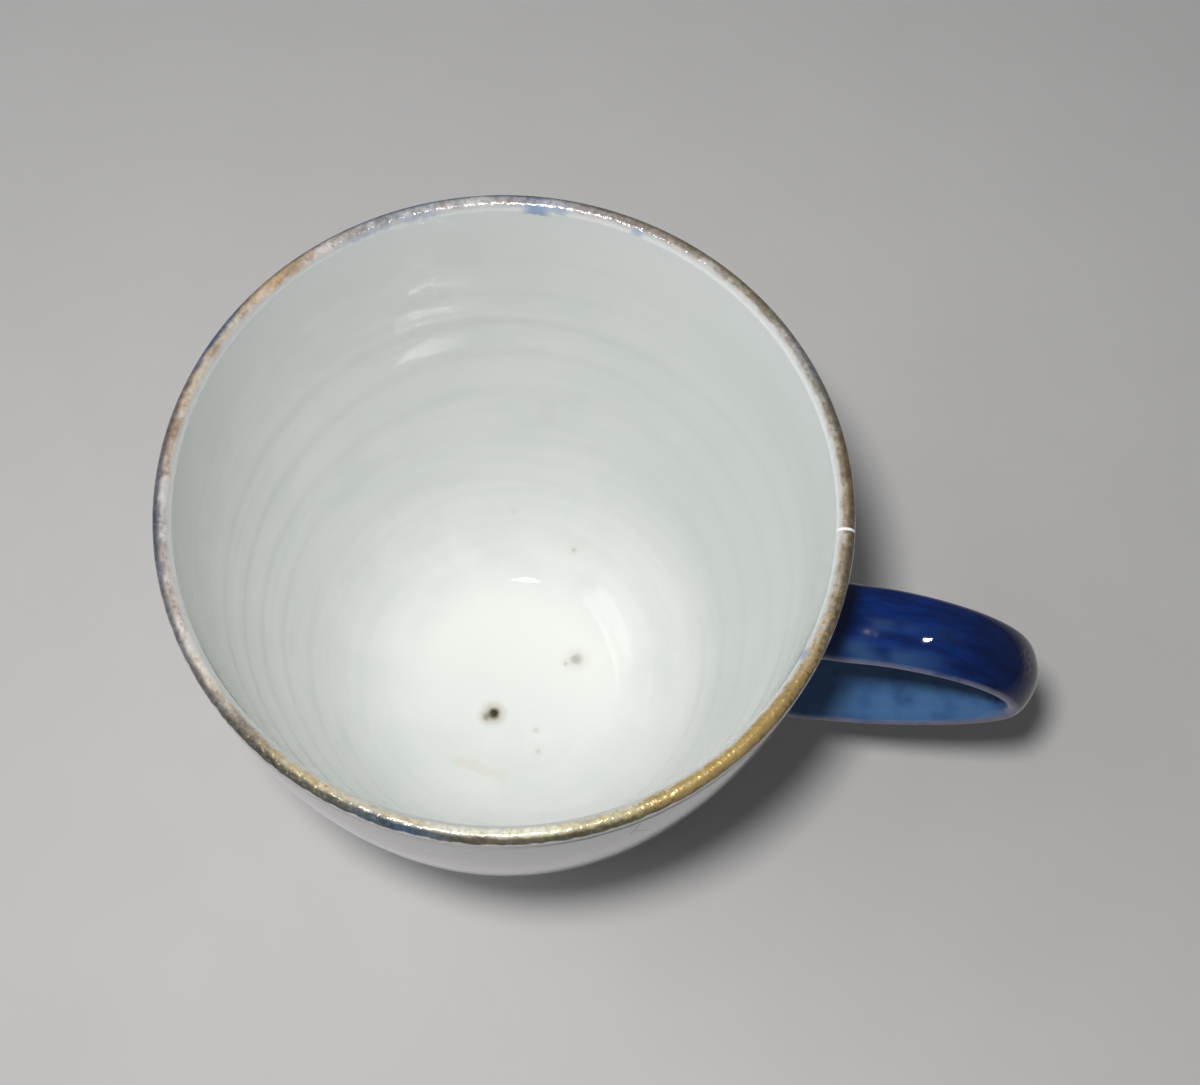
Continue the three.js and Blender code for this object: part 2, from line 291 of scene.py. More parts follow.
def make_body(material):
    phi = turn_angles()
    rings = surface(S[1:-1, None], phi[None, :])
    rows, columns, _ = rings.shape
    floor_middle = surface(S[0], 0.0)
    base_middle = surface(S[-1], 0.0)
    points = np.vstack([rings.reshape(-1, 3), floor_middle, base_middle])
    faces = rows_to_faces(rows, columns)
    faces += fan(rows * columns, 0, columns) + fan(rows * columns + 1, (rows - 1) * columns, columns)
    return add_mesh("thrown_cup", points, faces, material)


def wandering(phi, seed, size):
    """How far an uneven line round the cup, such as the edge of a brush stroke, strays."""
    random = np.random.default_rng(seed)
    total = 0
    for n in range(2, 24):
        height = random.uniform(0.3, 1) / math.sqrt(n)
        total = total + height * np.cos(n * phi + random.uniform(0, TAU))
    return size * total


BAND_WANDER = 0.05
BAND_CLEAR = 0.012  # how far the band's thin edge stands off the glaze
BAND_DEPTH = 0.06  # how far its underside is sunk in the glaze
BAND_RISE = 0.45  # share of its width over which it rises to full thickness inside
BAND_FALL = 0.12  # and falls again outside


def make_band(name, inner_edge, outer_edge, lift, steps, material, seed):
    """A painted line lying on the skin between two distances from the top of the lip."""
    phi = turn_angles()
    start = inner_edge + wandering(phi, seed, BAND_WANDER)
    end = outer_edge + wandering(phi, seed + 1, BAND_WANDER)
    share = np.linspace(0, 1, steps)[:, None]
    s = start * (1 - share) + end * share
    crown = smooth(0, BAND_RISE, share) * smooth(0, BAND_FALL, 1 - share)
    top = surface(s, phi[None, :], lift * crown + BAND_CLEAR)
    under = surface(s[::-1], phi[None, :], -BAND_DEPTH)
    rings = np.concatenate([top, under])
    faces = rows_to_faces(len(rings), len(phi), closed=True)
    return add_mesh(name, rings.reshape(-1, 3), faces, material)


# ---------------------------------------------------------------- foot ring

FOOT_TOP = BASE_BOTTOM + 0.15  # sunk a little into the base
FOOT_REST_OUTER = 19.4
FOOT_REST_INNER = 17.9
FOOT_INNER = 17.0
FOOT_SIDE_STEPS = 12
FOOT_EDGE_STEPS = 6
FOOT_REST_STEPS = 5
# The ring's section, from the top of its outside down to the resting edge and up its inside.
FOOT_OUTSIDE = ((FOOT_OUTER + 0.3, FOOT_TOP), (FOOT_OUTER - 0.5, 1.9), (19.9, 1.4), (19.75, 0.45))
FOOT_OUTER_EDGE = ((19.75, 0.45), (19.7, 0.15), (19.6, 0.02), (FOOT_REST_OUTER, 0))
FOOT_INNER_EDGE = ((FOOT_REST_INNER, 0), (17.7, 0.02), (17.6, 0.15), (17.55, 0.4))
FOOT_INSIDE = ((17.55, 0.4), (17.4, 1.2), (17.3, 2.2), (FOOT_INNER - 0.4, FOOT_TOP))
FOOT_UNEVEN = 0.03


def make_foot(material):
    across = np.linspace(FOOT_REST_OUTER, FOOT_REST_INNER, FOOT_REST_STEPS)
    line = joined(
        bezier(*FOOT_OUTSIDE, FOOT_SIDE_STEPS),
        bezier(*FOOT_OUTER_EDGE, FOOT_EDGE_STEPS),
        np.column_stack([across, np.zeros(FOOT_REST_STEPS)]),
        bezier(*FOOT_INNER_EDGE, FOOT_EDGE_STEPS),
        bezier(*FOOT_INSIDE, FOOT_SIDE_STEPS),
    )
    phi = turn_angles()[None, :]
    r = line[:, :1] + FOOT_UNEVEN * np.sin(3 * phi + 1) * smooth(0, 1, line[:, 1:])
    z = np.broadcast_to(line[:, 1:], r.shape)
    rings = np.stack([r * np.cos(phi), r * np.sin(phi), z], axis=-1)
    faces = rows_to_faces(len(rings), phi.size, closed=True)
    return add_mesh("turned_foot_ring", rings.reshape(-1, 3), faces, material)


# ---------------------------------------------------------------- handle

STRAP_THICKNESS = 3.5
STRAP_WIDTH = 7.5  # at the outside of the loop
LOOP_TOP = HANDLE_TOP - STRAP_THICKNESS / 2
LOOP_TOP_REACH = 40.0
LOOP_REACH = HANDLE_REACH - STRAP_THICKNESS / 2
LOOP_OUTERMOST = 38.5
UPPER_ROOT = 47.2
LOWER_ROOT = HANDLE_BOTTOM + STRAP_THICKNESS / 2
OUTER_PULL = 6.0
LOWER_PULL = 10.0
JOINT_LENGTH = 2.2  # from the wall to where the strap keeps its own section
JOINT_FLARE = 1.7  # how far the slip spreads on the wall round the strap
SECTION_STEPS = 72  # points round the strap
QUARTER = 0.5523  # share of the axis that makes a Bezier curve a quarter of an ellipse
EASE = 0.4  # how gently the upper arm leaves the wall and comes level
CURVE_STEPS = 200  # points along each curve of the middle line
STRAP_RINGS = 210
JOINT_RINGS = 18
JOINT_SINK = 0.12  # how far the joint's edge is sunk in the wall
JOINT_ROOT = 0.8  # how far its hidden end goes into the wall


def strap_middle(steps):
    """The strap's middle line in the plane of the handle, evenly spaced, from the upper end."""
    start = outer_wall(UPPER_ROOT) + JOINT_LENGTH
    end = outer_wall(LOWER_ROOT) + JOINT_LENGTH
    rise = EASE * (LOOP_TOP_REACH - start)
    arm = bezier(
        (start, UPPER_ROOT),
        (start + rise, UPPER_ROOT),
        (LOOP_TOP_REACH - rise, LOOP_TOP),
        (LOOP_TOP_REACH, LOOP_TOP),
        CURVE_STEPS,
    )
    bend = bezier(
        (LOOP_TOP_REACH, LOOP_TOP),
        (LOOP_TOP_REACH + QUARTER * (LOOP_REACH - LOOP_TOP_REACH), LOOP_TOP),
        (LOOP_REACH, LOOP_OUTERMOST + QUARTER * (LOOP_TOP - LOOP_OUTERMOST)),
        (LOOP_REACH, LOOP_OUTERMOST),
        CURVE_STEPS,
    )
    back = bezier(
        (LOOP_REACH, LOOP_OUTERMOST),
        (LOOP_REACH, LOOP_OUTERMOST - OUTER_PULL),
        (end + LOWER_PULL, LOWER_ROOT),
        (end, LOWER_ROOT),
        CURVE_STEPS,
    )
    line = joined(arm, bend, back)
    length = np.concatenate([[0], np.cumsum(np.hypot(*np.diff(line, axis=0).T))])
    even = np.linspace(0, length[-1], steps)
    return np.column_stack([np.interp(even, length, line[:, i]) for i in (0, 1)]), even


EDGE_ROUND = 0.8  # below 1 it draws the section's points out to the edges
CROWN = 1.7  # below 2 the outer face comes to a soft ridge along its middle
DOME = 0.62  # how full the outer face is
INNER_FLATNESS = 4.0
INNER_DEPTH = 0.9  # how far the inner face lies from the middle, as a share of the outer one
STRAP_ROLL = 0.07  # how far the strap leans over to the side that faces -Y


def strap_section(angle, half_width):
    """A pulled strap's section: a ridged dome outside, nearly flat inside, with round edges."""
    across = np.sign(np.cos(angle)) * np.abs(np.cos(angle)) ** EDGE_ROUND
    outer = (1 - np.abs(across) ** CROWN) ** DOME
    inner = -((1 - np.abs(across) ** INNER_FLATNESS) ** 0.5) * INNER_DEPTH
    up = np.where(np.sin(angle) > 0, outer, inner) * STRAP_THICKNESS / 2
    return across * half_width, up + STRAP_ROLL * across * half_width


def strap_ring(middle, outward, half_width, angle):
    """One ring of the strap's surface round a point of its middle line."""
    across, up = strap_section(angle, half_width)
    x = middle[0] + outward[0] * up
    z = middle[1] + outward[1] * up
    return np.column_stack([x, across, z])


def section_angles():
    return np.arange(SECTION_STEPS) * TAU / SECTION_STEPS


def strap_half_widths(middle):
    root_x = outer_wall(LOWER_ROOT) + JOINT_LENGTH
    share = np.clip((LOOP_REACH - middle[:, 0]) / (LOOP_REACH - root_x), 0, 1)
    return (STRAP_WIDTH + (ROOT_WIDTH - STRAP_WIDTH) * share) / 2


# Swellings on top of the upper arm: reach from the axis, side, length, width and height.
STRAP_SWELLINGS = (
    (43.95, -0.8, 1.2, 2.4, 0.55),
    (32.5, 0.0, 4.0, 6.0, 0.66),
)
UPPER_ARM = (LOOP_TOP - 6, LOOP_TOP - 3)  # the heights between which these start to show


def strap_swelling(middle, across):
    """How far the outer face of the upper arm stands above the plain strap."""
    reach = middle[:, :1]
    upper = smooth(*UPPER_ARM, middle[:, 1:])
    total = 0
    for at, side, length, width, height in STRAP_SWELLINGS:
        away = ((reach - at) / length) ** 2 + ((across - side) / width) ** 2
        total = total + height * np.exp(-away)
    return total * upper


def make_strap_rings(steps):
    middle, length = strap_middle(steps)
    tangent = np.gradient(middle, length, axis=0)
    tangent /= np.linalg.norm(tangent, axis=1)[:, None]
    outward = np.column_stack([-tangent[:, 1], tangent[:, 0]])
    half = strap_half_widths(middle)
    angle = section_angles()
    rings = np.array([strap_ring(m, o, h, angle) for m, o, h in zip(middle, outward, half)])
    rise = strap_swelling(middle, rings[:, :, 1]) * np.clip(np.sin(angle), 0, 1)
    rings[:, :, 0] += outward[:, :1] * rise
    rings[:, :, 2] += outward[:, 1:] * rise
    return rings


def make_strap(rings, material):
    return capped_tube("handle_strap", rings, material)


def make_slip_joint(name, end_ring, centre_z, material):
    """The slip between the strap's end and the wall: a fillet that lands on the wall."""
    y, z = end_ring[:, 1], end_ring[:, 2]
    wall_x = np.sqrt(outer_wall(z) ** 2 - y**2)
    along_y = np.roll(y, -1) - np.roll(y, 1)
    along_z = np.roll(z, -1) - np.roll(z, 1)
    away = np.column_stack([along_z, -along_y])
    away /= np.linalg.norm(away, axis=1)[:, None]
    inward = (away * np.column_stack([y, z - centre_z])).sum(axis=1) < 0
    away[inward] *= -1
    landing_y = y + away[:, 0] * JOINT_FLARE
    landing_z = z + away[:, 1] * JOINT_FLARE
    landing_x = np.sqrt(outer_wall(landing_z) ** 2 - landing_y**2) - JOINT_SINK
    corner = np.column_stack([wall_x, y, z])
    landing = np.column_stack([landing_x, landing_y, landing_z])
    t = np.linspace(0, 1, JOINT_RINGS)[:, None, None]
    rings = end_ring * (1 - t) ** 2 + corner * 2 * t * (1 - t) + landing * t * t
    sunk = landing - (JOINT_ROOT, 0, 0)
    return capped_tube(name, np.concatenate([rings, sunk[None]]), material)


# ---------------------------------------------------------------- shader graphs


class Graph:
    """A material's node tree, with short calls for the nodes that these materials use."""

    def __init__(self, name):
        self.material = bpy.data.materials.new(name)
        self.material.use_nodes = True
        self.nodes = self.material.node_tree.nodes
        self.links = self.material.node_tree.links
        self.nodes.clear()
        output = self.nodes.new("ShaderNodeOutputMaterial")
        self.shader = self.nodes.new("ShaderNodeBsdfPrincipled")
        self.links.new(self.shader.outputs[0], output.inputs[0])

    def put(self, socket, value):
        """Joins a socket to another socket, or sets its number or colour."""
        if isinstance(value, bpy.types.NodeSocket):
            self.links.new(value, socket)
        elif isinstance(value, tuple) and len(value) == 3 and socket.type == "RGBA":
            socket.default_value = (*value, 1)
        else:
            socket.default_value = value

    def math(self, operation, a, b=0.0, c=0.0):
        node = self.nodes.new("ShaderNodeMath")
        node.operation = operation
        for socket, value in zip(node.inputs, (a, b, c)):
            self.put(socket, value)
        return node.outputs[0]

    def add(self, a, b):
        return self.math("ADD", a, b)

    def sub(self, a, b):
        return self.math("SUBTRACT", a, b)

    def mul(self, a, b):
        return self.math("MULTIPLY", a, b)

    def step(self, x, low, high):
        """0 below low, 1 above high, smooth between. high may be the lower of the two."""
        node = self.nodes.new("ShaderNodeMapRange")
        node.interpolation_type = "SMOOTHSTEP"
        for key, value in (("Value", x), ("From Min", low), ("From Max", high)):
            self.put(node.inputs[key], value)
        return node.outputs[0]

    def vector(self, operation, a, b=(0, 0, 0)):
        node = self.nodes.new("ShaderNodeVectorMath")
        node.operation = operation
        self.put(node.inputs[0], a)
        self.put(node.inputs[1], b)
        gives_number = operation in ("DISTANCE", "DOT_PRODUCT")
        return node.outputs["Value" if gives_number else "Vector"]

    def split(self, vector):
        node = self.nodes.new("ShaderNodeSeparateXYZ")
        self.put(node.inputs[0], vector)
        return node.outputs

    def mix(self, share, a, b, blend="MIX"):
        """The first colour turning into the second as the share goes from 0 to 1."""
        node = self.nodes.new("ShaderNodeMix")
        node.data_type = "RGBA"
        node.blend_type = blend
        colour_inputs = [socket for socket in node.inputs if socket.type == "RGBA"]
        self.put(node.inputs[0], share)
        self.put(colour_inputs[0], a)
        self.put(colour_inputs[1], b)
        return next(socket for socket in node.outputs if socket.type == "RGBA")

    def ramp(self, share, stops, blend="EASE"):
        """A colour or grey ramp from (place, value) stops."""
        node = self.nodes.new("ShaderNodeValToRGB")
        node.color_ramp.interpolation = blend
        elements = node.color_ramp.elements
        elements.remove(elements[1])
        for i, (place, value) in enumerate(stops):
            element = elements.new(place) if i else elements[0]
            element.position = place
            element.color = (*value, 1) if isinstance(value, tuple) else (value, value, value, 1)
        self.put(node.inputs[0], share)
        return node.outputs[0]

    def noise(self, vector, scale, detail=3.0, roughness=0.55, distortion=0.0):
        node = self.nodes.new("ShaderNodeTexNoise")
        for key, value in (
            ("Vector", vector),
            ("Scale", scale),
            ("Detail", detail),
            ("Roughness", roughness),
            ("Distortion", distortion),
        ):
            self.put(node.inputs[key], value)
        return node.outputs[0]

    def about_zero(self, noise, size):
        """Noise that strays as far below zero as above it."""
        return self.mul(self.sub(noise, 0.5), size)

    def colour_noise(self, vector, scale):
        node = self.nodes.new("ShaderNodeTexNoise")
        self.put(node.inputs["Vector"], vector)
        self.put(node.inputs["Scale"], scale)
        return node.outputs["Color"]

    def tint(self, a, b):
        """One colour seen through another."""
        return self.mix(1.0, a, b, "MULTIPLY")

    def cells(self, vector, scale):
        """Distance to the nearest scattered point, and that point's own random colour."""
        node = self.nodes.new("ShaderNodeTexVoronoi")
        self.put(node.inputs["Vector"], vector)
        self.put(node.inputs["Scale"], scale)
        return node.outputs["Distance"], node.outputs["Color"]

    def place(self):
        """The point on the surface, in millimetres from the cup's axis and the table."""
        source = self.nodes.new("ShaderNodeTexCoord")
        shifted = self.vector("SUBTRACT", source.outputs["Object"], (AXIS_X, 0, 0))
        return self.vector("MULTIPLY", shifted, (1 / MM, 1 / MM, 1 / MM))

    def normal(self):
        """Which way the smooth surface faces."""
        return self.nodes.new("ShaderNodeNewGeometry").outputs["Normal"]

    def round_place(self, place):
        """Radius, angle round the axis in degrees from the handle, and height."""
        x, y, z = self.split(place)
        radius = self.math("SQRT", self.add(self.mul(x, x), self.mul(y, y)))
        degrees = self.mul(self.math("ARCTAN2", y, x), 180 / math.pi)
        return radius, degrees, z

    def lip_place(self, place):
        """Distance along the skin from the top of the lip: negative inside the cup, positive outside."""
        radius, _, height = self.round_place(place)
        across = self.sub(radius, BODY_RADIUS - LIP_ROUND)
        above = self.sub(height, LIP_CENTRE_Z)
        turn = self.math("ARCTAN2", self.math("MAXIMUM", above, 0.0), across)
        over = self.mul(self.sub(math.pi / 2, turn), LIP_ROUND)
        below = self.math("MAXIMUM", self.mul(above, -1.0), 0.0)
        return self.add(over, self.mul(self.math("SIGN", across), below))

    def around(self, degrees, stops):
        """A value or colour that changes round the cup, from stops between -180 and 180 degrees."""
        turn = self.add(self.mul(degrees, 1 / 360), 0.5)
        return self.ramp(turn, [(place / 360 + 0.5, value) for place, value in stops], "LINEAR")

    def bump(self, height, strength, distance_mm):
        node = self.nodes.new("ShaderNodeBump")
        node.inputs["Strength"].default_value = strength
        node.inputs["Distance"].default_value = distance_mm * MM
        self.put(node.inputs["Height"], height)
        return node.outputs[0]

    def finish(self, **sockets):
        """Fills the shader's sockets by name, with _ for a space."""
        for key, value in sockets.items():
            self.put(self.shader.inputs[key.replace("_", " ")], value)
        return self.material


# ---------------------------------------------------------------- white glaze

WHITE_THIN = (0.765, 0.78, 0.765)
WHITE_DEEP = (0.68, 0.715, 0.70)
# Painted shade: a darker, greener white for the upper wall on the handle's side.
WHITE_PAINTED_SHADE = (0.61, 0.65, 0.635)
# Partly painted light: a whiter floor for the cup, for the pool of light on it as well as glaze that
# pooled whiter.
WHITE_FLOOR_PAINTED_LIGHT = (0.84, 0.845, 0.825)
WHITE_RIM = (0.74, 0.775, 0.78)
# Painted shade: the outside's glaze is coloured darker and more lilac than the inside's, for the shade
# it lies in and the light off the table.
WHITE_OUTSIDE_SHADED = (0.63, 0.615, 0.63)
BLUE_WASH = (0.11, 0.22, 0.46)
# Painted shade: how strongly the upper wall is coloured darker and greener round the cup, in degrees
# from the handle:
PAINTED_SHADE_SIDE = ((-180, 0.05), (-60, 0.1), (-10, 0.85), (40, 0.8), (90, 0.15), (130, 0.1), (180, 0.05))
IRON = (0.035, 0.026, 0.016)
IRON_HALO = (0.40, 0.35, 0.24)
TEA = (0.66, 0.58, 0.40)
CRACK_WHITE = (0.93, 0.93, 0.92)
CRACK_DARK = (0.07, 0.06, 0.06)
SPECK = (0.25, 0.22, 0.16)
GLAZE_IOR = 1.52

# A brown stain on the floor, from one point to the other.
STAIN = ((-5.4, -11.2, 5.9), (1.4, -12.2, 6.1))
# Lines on the wall, between places given as distance from the lip and degrees from the handle.
HAIRLINE = ((-0.9, 4.4), (-5.2, 1.4))
HAIRLINE_AT_LIP = 4.9
CRACKS = (((2.6, -57), (8.0, -58.6), 0.19), ((6.0, -58.0), (10.0, -55.0), 0.12))  # the last is width

# Place, radius and strength of the larger iron spots.
IRON_SPOTS = (
    ((-1.9, -4.5, 5.3), 0.95, 1.0),
    ((-2.7, -5.1, 5.3), 0.65, 0.45),
    ((6.8, 4.2, 5.4), 0.95, 0.34),
    ((5.6, 3.4, 5.4), 0.35, 0.20),
    ((4.0, 17.2, 8.6), 0.4, 0.30),
    ((-4.0, 19.5, 11.5), 0.35, 0.35),
    ((-23.4, 4.6, 24.0), 0.4, 0.35),
    ((3.6, -5.6, 5.3), 0.4, 0.16),
    ((4.4, -8.2, 5.5), 0.4, 0.14),
)


def iron_spots(g, colour, place):
    """Dark iron spots with a brown halo."""
    ragged = g.noise(place, 1.1, 1.0)
    for centre, size, strength in IRON_SPOTS:
        distance = g.vector("DISTANCE", place, centre)
        uneven = g.add(distance, g.about_zero(ragged, size * 0.5))
        halo = g.mul(g.step(uneven, size * 2.2, size * 0.5), 0.55 * strength)
        core = g.mul(g.step(uneven, size * 1.05, size * 0.25), strength)
        colour = g.mix(halo, colour, IRON_HALO)
        colour = g.mix(core, colour, IRON)
    return colour


def fine_specks(g, colour, place):
    """A scatter of tiny grey-brown specks, most cells empty."""
    distance, chance = g.cells(place, 0.15)
    size = g.mul(g.step(g.split(chance)[0], 0.80, 1.0), 0.030)
    dot = g.math("LESS_THAN", distance, size)
    return g.mix(g.mul(dot, 0.40), colour, SPECK)


def near_line(g, place, start, end, width, wander):
    """1 close to the straight line between two points, fading at its edge and its ends."""
    a, b = Vector(start), Vector(end)
    along = (b - a).normalized()
    most = (wander, wander, wander)
    bend = g.vector("MULTIPLY", g.colour_noise(place, 0.7), most)
    middle_start = tuple(a + Vector(most) / 2)
    offset = g.vector("SUBTRACT", g.vector("ADD", place, bend), middle_start)
    run = g.vector("DOT_PRODUCT", offset, tuple(along))
    square = g.vector("DOT_PRODUCT", offset, offset)
    away = g.math("SQRT", g.math("MAXIMUM", g.sub(square, g.mul(run, run)), 0.0))
    length = (b - a).length
    within = g.mul(g.step(run, -0.2, 0.3), g.step(run, length + 0.2, length - 0.8))
    return g.mul(g.step(away, width, width * 0.4), within)


def on_wall(s, degrees):
    """A point of the plain skin, from its distance from the lip and its angle round the cup."""
    phi = math.radians(degrees)
    r, z = (float(np.interp(s, S, PROFILE[:, i])) for i in (0, 1))
    return (r * math.cos(phi), r * math.sin(phi), z)


def painted_patch(g, degrees, along, centre, half_width, from_s, to_s, strength):
    """How strongly a soft smear, running down the inside at one place round the lip, covers a point."""
    away = g.math("ABSOLUTE", g.sub(degrees, centre))
    beside = g.step(away, half_width, half_width * 0.2)
    down = g.mul(g.step(along, to_s, to_s + 0.5), g.step(along, from_s + 0.2, from_s))
    return g.mul(g.mul(beside, down), strength)


def white_glaze():
    g = Graph("white_glaze")
    place = g.place()
    x, y, _ = g.split(place)
    radius, degrees, height = g.round_place(place)
    along = g.lip_place(place)
    uneven = g.noise(place, 0.12, 3.0, distortion=0.3)
    rings = g.noise(g.vector("MULTIPLY", place, (0.06, 0.06, 0.8)), 1.0, 3.0)
    pooled = g.step(g.add(g.mul(uneven, 0.6), g.mul(rings, 0.4)), 0.34, 0.68)
    nx, ny, nz = g.split(g.normal())
    outward = g.add(g.mul(nx, x), g.mul(ny, y))
    facing_out = g.math("DIVIDE", outward, g.math("MAXIMUM", radius, 1.0))
    outside = g.step(g.sub(facing_out, g.mul(nz, 0.5)), -0.1, 0.3)
    colour = g.mix(g.mul(pooled, 0.75), WHITE_THIN, WHITE_DEEP)
    # Partly painted light: the cup's floor is coloured whiter, most towards +Y, for the pool of light on
    # it as well as whiter pooled glaze.
    on_floor = g.step(g.add(radius, g.mul(uneven, 6.0)), 23.0, 12.0)
    on_floor = g.mul(on_floor, g.step(height, 14.0, 7.0))
    colour = g.mix(g.mul(on_floor, g.step(y, -16.0, 6.0)), colour, WHITE_FLOOR_PAINTED_LIGHT)
    # Painted shade, laid on the upper wall towards the handle's side.
    shaded = g.mul(g.around(degrees, PAINTED_SHADE_SIDE), g.step(height, 13.0, 24.0))
    colour = g.mix(shaded, colour, WHITE_PAINTED_SHADE)
    by_lip = g.mul(g.step(g.add(along, g.mul(uneven, 4.0)), -10.0, 0.5), 0.8)
    colour = g.mix(by_lip, colour, WHITE_RIM)
    # Where the surface faces out, the outer glaze with its painted shade.
    colour = g.mix(g.mul(outside, 0.9), colour, WHITE_OUTSIDE_SHADED)
    colour = blue_runs(g, colour, place, degrees, along)
    stain = near_line(g, place, *STAIN, 0.9, 1.2)
    colour = g.mix(g.mul(stain, g.mul(g.noise(place, 1.2, 3.0), 0.42)), colour, TEA)
    colour = fine_specks(g, colour, place)
    colour = iron_spots(g, colour, place)
    hairline = near_line(g, place, *(on_wall(*end) for end in HAIRLINE), 0.14, 0.4)
    colour = g.mix(g.mul(hairline, 0.9), colour, CRACK_WHITE)
    cracks = (near_line(g, place, on_wall(*a), on_wall(*b), width, 0.4) for a, b, width in CRACKS)
    colour = g.mix(g.mul(g.math("MAXIMUM", *cracks), 0.95), colour, CRACK_DARK)
    waves = g.noise(place, 0.16, 2.0)
    peel = g.noise(place, 0.9, 2.0)
    pin_distance, pin_chance = g.cells(place, 0.35)
    pin = g.mul(g.step(pin_distance, 0.10, 0.02), g.step(g.split(pin_chance)[0], 0.7, 0.9))
    relief = g.add(g.add(g.mul(peel, 0.22), waves), g.mul(pin, 0.25))
    return g.finish(
        Base_Color=colour,
        Roughness=g.add(0.02, g.mul(g.noise(place, 0.5, 3.0), 0.07)),
        Normal=g.bump(relief, 0.45, 0.10),
        IOR=GLAZE_IOR,
    )


# ---------------------------------------------------------------- bare foot

CLAY_PALE = (0.62, 0.57, 0.47)
CLAY_BROWN = (0.50, 0.42, 0.31)
CLAY_GRIT = (0.25, 0.19, 0.12)
GLAZE_LINE = (1.1, 1.35)  # the height where the bare clay ends and the glaze begins


def bare_foot():
    g = Graph("bare_foot")
    place = g.place()
    height = g.split(place)[2]
    grit = g.noise(place, 3.0, 4.0)
    patchy = g.noise(place, 0.25, 3.0)
    clay = g.mix(g.step(patchy, 0.35, 0.7), CLAY_PALE, CLAY_BROWN)
    clay = g.mix(g.mul(g.step(grit, 0.62, 0.75), 0.5), clay, CLAY_GRIT)
    glazed = g.step(g.add(height, g.mul(patchy, 0.6)), *GLAZE_LINE)
    # The glazed part of the foot takes the outer glaze with its painted shade.
    colour = g.mix(glazed, clay, WHITE_OUTSIDE_SHADED)
    return g.finish(
        Base_Color=colour,
        Roughness=g.add(0.8, g.mul(glazed, -0.68)),
        Normal=g.bump(grit, 0.4, 0.06),
    )


# ---------------------------------------------------------------- worn gilding

COBALT_DARK = (0.016, 0.026, 0.060)
COBALT_MID = (0.065, 0.135, 0.28)
PALE_LIP = (0.50, 0.505, 0.495)  # the glaze just inside the gold, greyed by use
LILAC_WHITE = (0.56, 0.55, 0.56)
FLECK_GOLD = (0.72, 0.50, 0.19)
# Tints that vary the gold from flake to flake, and from patch to patch:
FLAKE_TINTS = ((0.72, 0.70, 0.68), (1.15, 1.15, 1.15))
PATCH_TINTS = ((0.80, 0.76, 0.72), (1.12, 1.14, 1.16))

# Colours of the lip round the cup, in degrees from the handle, anticlockwise seen from above.
# What is left of the gold on the crest of the lip, with a painted highlight in the pale tones from -85
# to -68 degrees:
CREST_TONES_AND_HIGHLIGHT = (
    (-180, (0.42, 0.33, 0.26)), (-165, (0.42, 0.40, 0.41)), (-150, (0.47, 0.44, 0.42)),
    (-136, (0.50, 0.45, 0.37)), (-125, (0.28, 0.26, 0.23)), (-112, (0.48, 0.40, 0.23)),
    (-100, (0.42, 0.37, 0.26)), (-85, (0.62, 0.61, 0.48)), (-68, (0.66, 0.64, 0.45)),
    (-55, (0.47, 0.42, 0.25)), (-42, (0.50, 0.37, 0.14)), (-28, (0.43, 0.33, 0.16)),
    (-10, (0.33, 0.29, 0.23)), (12, (0.29, 0.25, 0.18)), (35, (0.31, 0.30, 0.28)),
    (50, (0.29, 0.26, 0.22)), (76, (0.33, 0.30, 0.28)), (88, (0.41, 0.40, 0.42)),
    (96, (0.29, 0.31, 0.37)), (106, (0.50, 0.50, 0.49)), (122, (0.35, 0.38, 0.43)),
    (135, (0.46, 0.41, 0.38)), (146, (0.49, 0.35, 0.22)), (157, (0.42, 0.37, 0.32)),
    (168, (0.42, 0.33, 0.21)), (180, (0.42, 0.33, 0.26)),
)
# and on its outer side a dark film: the cobalt stain where it is blue, and elsewhere a dark brown that
# stands in for a dark room mirrored in the worn gold, a painted reflection:
FILM_TONES_AND_REFLECTION = (
    (-180, (0.15, 0.13, 0.13)), (-165, (0.09, 0.10, 0.14)), (-150, (0.17, 0.18, 0.20)),
    (-136, (0.14, 0.13, 0.12)), (-122, (0.08, 0.08, 0.07)), (-106, (0.09, 0.09, 0.08)),
    (-95, (0.05, 0.09, 0.14)), (-84, (0.11, 0.10, 0.07)), (-60, (0.12, 0.11, 0.07)),
    (-40, (0.20, 0.16, 0.08)), (-20, (0.16, 0.13, 0.08)), (0, (0.14, 0.12, 0.09)),
    (20, (0.16, 0.12, 0.07)), (35, (0.15, 0.16, 0.18)), (50, (0.21, 0.18, 0.12)),
    (76, (0.22, 0.19, 0.15)), (88, (0.17, 0.17, 0.18)), (96, (0.09, 0.14, 0.21)),
    (105, (0.09, 0.18, 0.38)), (120, (0.09, 0.14, 0.27)), (135, (0.16, 0.16, 0.21)),
    (146, (0.22, 0.18, 0.12)), (153, (0.12, 0.14, 0.20)), (161, (0.06, 0.11, 0.23)),
    (169, (0.15, 0.13, 0.12)), (180, (0.15, 0.13, 0.13)),
)
# Distance from the top of the lip to where that film starts, in mm:
FILM_FROM = (
    (-180, 0.15), (-160, 0.10), (-146, 0.30), (-125, 0.08), (-100, 0.12), (-75, 0.30), (-40, 0.40),
    (-10, 0.12), (40, 0.12), (80, 0.16), (104, 0.34), (145, 0.45), (161, 0.25), (180, 0.15),
)
FILM_END = 1.05  # distance from the top of the lip to where it ends
# How thickly bright gold flecks still lie on the lip:
FLECKS = (
    (-180, 0.25), (-150, 0.10), (-135, 0.35), (-118, 0.60), (-100, 0.45), (-84, 0.25),
    (-65, 0.40), (-52, 0.90), (-30, 0.85), (0, 0.45), (30, 0.25), (60, 0.30),
    (90, 0.10), (125, 0.10), (146, 0.50), (168, 0.45), (180, 0.25),
)
